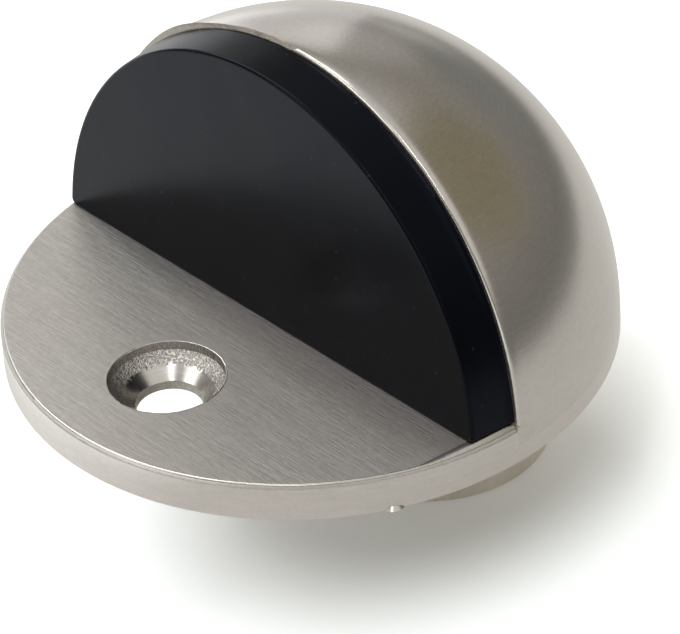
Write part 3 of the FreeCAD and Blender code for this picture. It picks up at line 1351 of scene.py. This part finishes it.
@dataclass
class Studio:
    """Pale floor, soft lamps, even surroundings and the camera."""

    sizes: StopSizes
    lamps: tuple[Lamp, ...] = (
        Lamp("key", 180.0, 50.0, 0.28, 0.54, 2.9),
        Lamp("left", 246.0, 34.0, 0.32, 0.26, 2.2),
        Lamp("window", 141.0, 17.0, 0.235, 0.41, 0.53),
        Lamp("front", 304.0, 57.0, 0.045, 0.36, 6.5),
    )
    lamp_target: Triple = (0.0, 0.0, 5.0 * MM)
    cards: tuple[Card, ...] = (
        Card(66.0, 35.0, 29.0, (0.305, 0.28, 0.19)),
        Card(122.0, 0.0, 12.0, (0.60, 0.59, 0.56)),
        Card(126.0, 24.0, 16.0, (0.50, 0.485, 0.46)),
        Card(106.0, 8.0, 18.0, (0.275, 0.285, 0.265)),
        Card(350.0, 46.0, 38.0, (0.86, 0.84, 0.79)),
        Card(160.0, 6.0, 16.0, (1.25, 1.27, 1.30)),
    )
    horizon: Triple = (0.26, 0.25, 0.235)
    wall: Triple = (0.36, 0.345, 0.305)
    wall_rise: Pair = (0.0, 0.5)
    ceiling: Triple = (0.80, 0.79, 0.76)
    ceiling_rise: Pair = (0.60, 0.95)
    # Floor, as a pale sheet near the door stop and darker beyond
    floor_radius: float = 3.0
    floor_segments: int = 96
    floor_tint: Triple = (0.81, 0.81, 0.795)
    floor_far: Triple = (0.34, 0.34, 0.33)
    sheet_way: float = math.radians(50.0)
    sheet_edge: Pair = (0.100, 0.170)
    # Glow added to the floor: white where the camera sees it, held back round the door stop as a painted
    # shadow, and seen by the steel on one side only as a painted reflection
    lift_tint: Triple = (0.93, 0.985, 1.0)
    painted_shadow_glow: Pair = (0.085, 0.64)
    painted_shadow_middle: Triple = (2.0 * MM, 10.0 * MM, 0.0)
    painted_shadow_stretch: Triple = (1.0, 0.70, 1.0)
    painted_shadow_edge: Pair = (9.0 * MM, 20.5 * MM)
    painted_reflection_side: float = math.radians(227.0)
    painted_reflection_edge: Pair = (24.0 * MM, 52.0 * MM)

    def floor(self) -> None:
        """Adds a round pale floor at the height of the spigot's end."""
        mesh = bmesh.new()
        bmesh.ops.create_circle(mesh, cap_ends=True, segments=self.floor_segments, radius=self.floor_radius)
        piece = finished("studio_floor", mesh, [self.floor_material()])
        piece.location = (0, 0, -self.sizes.spigot_length)

    def floor_material(self) -> bpy.types.Material:
        """Pale diffuse floor with an added glow, held back round the door stop as a painted shadow and seen
        in the steel on one side as a painted reflection.

        Returns:
            The material.
        """
        made, graph = node_material("pale_floor")
        nodes = graph.tree.nodes
        nodes.remove(nodes["Principled BSDF"])
        light = graph.node("ShaderNodeLightPath").outputs
        place = graph.node("ShaderNodeTexCoord").outputs["Object"]
        # Painted reflection: glossy rays see the glow only on one side of the floor, away from the door stop
        bright = graph.remap(graph.dot(place, spoke(self.painted_reflection_side)), *self.painted_reflection_edge)
        painted_reflection_seen = graph.math("MULTIPLY", light["Is Glossy Ray"], bright)
        direct = graph.math("MAXIMUM", light["Is Camera Ray"], light["Is Transmission Ray"])
        seen = graph.math("MAXIMUM", direct, painted_reflection_seen)
        away = graph.dot(place, spoke(self.sheet_way))
        sheet = graph.remap(away, *self.sheet_edge, 1.0, 0.0)
        near = graph.math("MAXIMUM", sheet, direct)
        colour = graph.mix(near, self.floor_far, self.floor_tint)
        paint = graph.node("ShaderNodeBsdfDiffuse", {"Color": colour})
        # Painted shadow: the glow fades out round the door stop, so the floor under and beside it stays dark
        offset = graph.vector("SUBTRACT", place, self.painted_shadow_middle)
        offset = graph.vector("MULTIPLY", offset, self.painted_shadow_stretch)
        clear = graph.node("ShaderNodeVectorMath", {0: offset}, operation="LENGTH").outputs["Value"]
        painted_shadow_glow = graph.remap(clear, *self.painted_shadow_edge, *self.painted_shadow_glow)
        strength = graph.math("MULTIPLY", graph.math("MULTIPLY", seen, near), painted_shadow_glow)
        glow = graph.node("ShaderNodeEmission", {"Color": (*self.lift_tint, 1.0), "Strength": strength})
        both = graph.node("ShaderNodeAddShader", {0: paint.outputs[0], 1: glow.outputs[0]})
        graph.feed(both.outputs[0], nodes["Material Output"].inputs["Surface"])
        return made

    def surroundings(self) -> None:
        """Adds even surroundings that fill the shadows, with the soft patches on them."""
        world = bpy.data.worlds.new("surroundings")
        world.use_nodes = True
        graph = Graph(world.node_tree)
        way = graph.node("ShaderNodeTexCoord").outputs["Generated"]
        height = graph.node("ShaderNodeSeparateXYZ", {0: way}).outputs[2]
        low = graph.mix(graph.remap(height, *self.wall_rise), self.horizon, self.wall)
        colour = graph.mix(graph.remap(height, *self.ceiling_rise), low, self.ceiling)
        for card in self.cards:
            colour = card.over(graph, way, colour)
        graph.feed(colour, world.node_tree.nodes["Background"].inputs["Color"])
        bpy.context.scene.world = world

    def build(self) -> None:
        """Builds the whole studio."""
        Viewpoint().build()
        self.floor()
        self.surroundings()
        for lamp in self.lamps:
            lamp.build(Vector(self.lamp_target))
        bpy.context.scene.view_settings.view_transform = "Standard"


def main() -> None:
    """Builds every piece and the studio."""
    logging.basicConfig(level=logging.INFO, format="%(message)s")
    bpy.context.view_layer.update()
    sizes = StopSizes()
    kit = GroupKit()
    body = SteelBody(sizes).build(kit)
    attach(body, "root")
    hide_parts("body")
    pad = RubberBuffer(sizes).build(kit)
    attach(pad, "root")
    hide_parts("rubber_buffer")
    for piece in (body, pad):
        LOG.info("%s: %d faces", piece.name, len(piece.data.polygons))
    Studio(sizes).build()
    bpy.context.view_layer.update()


if __name__ == "__main__":
    main()
